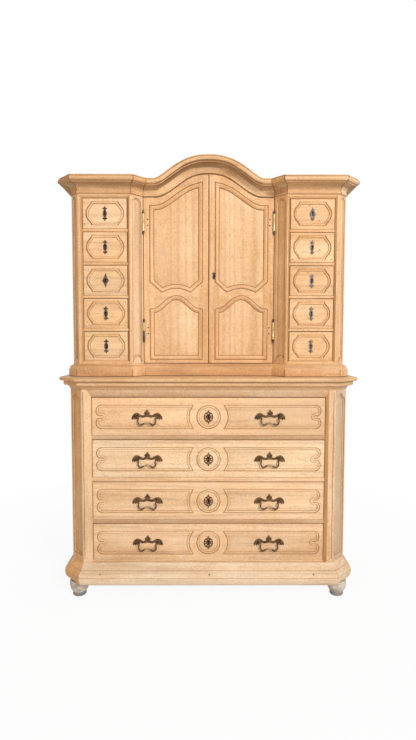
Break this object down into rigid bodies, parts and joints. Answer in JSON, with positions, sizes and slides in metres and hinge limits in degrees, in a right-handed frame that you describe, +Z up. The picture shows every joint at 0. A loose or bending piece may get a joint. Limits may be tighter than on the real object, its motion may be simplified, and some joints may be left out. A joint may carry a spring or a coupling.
{
  "type": "two-part buffet",
  "caption": "Tall pale oak two-part buffet: a canted chest of long drawers below an arched cupboard with panelled doors, flanked by banks of small drawers.",
  "frame": {"origin": "on the floor, under the middle of the piece", "axes": "+X to the right seen from the front, +Y to the back, +Z up; the doors and drawers face -Y"},
  "size_m": [1.49, 0.6, 2.206],
  "materials": {
    "chest_oak": "pale limed oak, dry",
    "upper_oak": "honey oak, dry wax",
    "inner_oak": "raw old oak",
    "worn_foot": "greyed worn oak",
    "hinge_brass": "bright worn brass",
    "pull_bronze": "dark bronze patina"
  },
  "bodies": {
    "cabinet": {"foot_front_left": "worn_foot", "foot_front_right": "worn_foot", "foot_rear_left": "worn_foot", "foot_rear_right": "worn_foot", "base_plinth": "chest_oak", "base_face_frame": "chest_oak", "base_back_board": "inner_oak", "base_left_side": "chest_oak", "base_right_side": "chest_oak", "base_left_runners": "inner_oak", "base_right_runners": "inner_oak", "base_top": "chest_oak", "upper_plinth": "upper_oak", "left_tower_frame": "upper_oak", "right_tower_frame": "upper_oak", "upper_left_side": "upper_oak", "upper_right_side": "upper_oak", "left_tower_partition": "inner_oak", "right_tower_partition": "inner_oak", "upper_back_board": "inner_oak", "cupboard_shelf": "inner_oak", "arch_header": "upper_oak", "roof_board": "inner_oak", "cornice": "upper_oak", "hinge_left_lower": "hinge_brass", "hinge_left_upper": "hinge_brass", "hinge_right_lower": "hinge_brass", "hinge_right_upper": "hinge_brass"},
    "left_door": {"left_door_frame": "upper_oak", "left_door_upper_panel": "upper_oak", "left_door_lower_panel": "upper_oak"},
    "right_door": {"right_door_frame": "upper_oak", "right_door_upper_panel": "upper_oak", "right_door_lower_panel": "upper_oak"},
    "long_drawer_1": {"long_drawer_1_front": "chest_oak", "long_drawer_1_box": "inner_oak"},
    "long_drawer_2": {"long_drawer_2_front": "chest_oak", "long_drawer_2_box": "inner_oak"},
    "long_drawer_3": {"long_drawer_3_front": "chest_oak", "long_drawer_3_box": "inner_oak"},
    "long_drawer_4": {"long_drawer_4_front": "chest_oak", "long_drawer_4_box": "inner_oak"},
    "bail_1_left": {"bail_1_left": "pull_bronze"},
    "bail_1_right": {"bail_1_right": "pull_bronze"},
    "bail_2_left": {"bail_2_left": "pull_bronze"},
    "bail_2_right": {"bail_2_right": "pull_bronze"},
    "bail_3_left": {"bail_3_left": "pull_bronze"},
    "bail_3_right": {"bail_3_right": "pull_bronze"},
    "bail_4_left": {"bail_4_left": "pull_bronze"},
    "bail_4_right": {"bail_4_right": "pull_bronze"},
    "left_drawer_1": {"left_drawer_1": "upper_oak"},
    "left_drawer_2": {"left_drawer_2": "upper_oak"},
    "left_drawer_3": {"left_drawer_3": "upper_oak"},
    "left_drawer_4": {"left_drawer_4": "upper_oak"},
    "left_drawer_5": {"left_drawer_5": "upper_oak"},
    "right_drawer_1": {"right_drawer_1": "upper_oak"},
    "right_drawer_2": {"right_drawer_2": "upper_oak"},
    "right_drawer_3": {"right_drawer_3": "upper_oak"},
    "right_drawer_4": {"right_drawer_4": "upper_oak"},
    "right_drawer_5": {"right_drawer_5": "upper_oak"}
  },
  "joints": [
    {"name": "left_door_hinge", "type": "hinge", "parent": "cabinet", "child": "left_door", "pos_m": [-0.328, -0.1425, 1.183], "axis": [0, 0, -1], "range_deg": [0, 100]},
    {"name": "right_door_hinge", "type": "hinge", "parent": "cabinet", "child": "right_door", "pos_m": [0.328, -0.1425, 1.183], "axis": [0, 0, 1], "range_deg": [0, 100]},
    {"name": "long_drawer_1_slide", "type": "slide", "parent": "cabinet", "child": "long_drawer_1", "axis": [0, -1, 0], "range_m": [0, 0.4]},
    {"name": "long_drawer_2_slide", "type": "slide", "parent": "cabinet", "child": "long_drawer_2", "axis": [0, -1, 0], "range_m": [0, 0.4]},
    {"name": "long_drawer_3_slide", "type": "slide", "parent": "cabinet", "child": "long_drawer_3", "axis": [0, -1, 0], "range_m": [0, 0.4]},
    {"name": "long_drawer_4_slide", "type": "slide", "parent": "cabinet", "child": "long_drawer_4", "axis": [0, -1, 0], "range_m": [0, 0.4]},
    {"name": "bail_1_left_swing", "type": "hinge", "parent": "long_drawer_1", "child": "bail_1_left", "pos_m": [-0.303, -0.253, 0.92325], "axis": [-1, 0, 0], "range_deg": [0, 95]},
    {"name": "bail_1_right_swing", "type": "hinge", "parent": "long_drawer_1", "child": "bail_1_right", "pos_m": [0.303, -0.253, 0.92325], "axis": [-1, 0, 0], "range_deg": [0, 95]},
    {"name": "bail_2_left_swing", "type": "hinge", "parent": "long_drawer_2", "child": "bail_2_left", "pos_m": [-0.303, -0.253, 0.71175], "axis": [-1, 0, 0], "range_deg": [0, 95]},
    {"name": "bail_2_right_swing", "type": "hinge", "parent": "long_drawer_2", "child": "bail_2_right", "pos_m": [0.303, -0.253, 0.71175], "axis": [-1, 0, 0], "range_deg": [0, 95]},
    {"name": "bail_3_left_swing", "type": "hinge", "parent": "long_drawer_3", "child": "bail_3_left", "pos_m": [-0.303, -0.253, 0.50025], "axis": [-1, 0, 0], "range_deg": [0, 95]},
    {"name": "bail_3_right_swing", "type": "hinge", "parent": "long_drawer_3", "child": "bail_3_right", "pos_m": [0.303, -0.253, 0.50025], "axis": [-1, 0, 0], "range_deg": [0, 95]},
    {"name": "bail_4_left_swing", "type": "hinge", "parent": "long_drawer_4", "child": "bail_4_left", "pos_m": [-0.303, -0.253, 0.28875], "axis": [-1, 0, 0], "range_deg": [0, 95]},
    {"name": "bail_4_right_swing", "type": "hinge", "parent": "long_drawer_4", "child": "bail_4_right", "pos_m": [0.303, -0.253, 0.28875], "axis": [-1, 0, 0], "range_deg": [0, 95]},
    {"name": "left_drawer_1_slide", "type": "slide", "parent": "cabinet", "child": "left_drawer_1", "axis": [0, -1, 0], "range_m": [0, 0.3]},
    {"name": "left_drawer_2_slide", "type": "slide", "parent": "cabinet", "child": "left_drawer_2", "axis": [0, -1, 0], "range_m": [0, 0.3]},
    {"name": "left_drawer_3_slide", "type": "slide", "parent": "cabinet", "child": "left_drawer_3", "axis": [0, -1, 0], "range_m": [0, 0.3]},
    {"name": "left_drawer_4_slide", "type": "slide", "parent": "cabinet", "child": "left_drawer_4", "axis": [0, -1, 0], "range_m": [0, 0.3]},
    {"name": "left_drawer_5_slide", "type": "slide", "parent": "cabinet", "child": "left_drawer_5", "axis": [0, -1, 0], "range_m": [0, 0.3]},
    {"name": "right_drawer_1_slide", "type": "slide", "parent": "cabinet", "child": "right_drawer_1", "axis": [0, -1, 0], "range_m": [0, 0.3]},
    {"name": "right_drawer_2_slide", "type": "slide", "parent": "cabinet", "child": "right_drawer_2", "axis": [0, -1, 0], "range_m": [0, 0.3]},
    {"name": "right_drawer_3_slide", "type": "slide", "parent": "cabinet", "child": "right_drawer_3", "axis": [0, -1, 0], "range_m": [0, 0.3]},
    {"name": "right_drawer_4_slide", "type": "slide", "parent": "cabinet", "child": "right_drawer_4", "axis": [0, -1, 0], "range_m": [0, 0.3]},
    {"name": "right_drawer_5_slide", "type": "slide", "parent": "cabinet", "child": "right_drawer_5", "axis": [0, -1, 0], "range_m": [0, 0.3]}
  ]
}
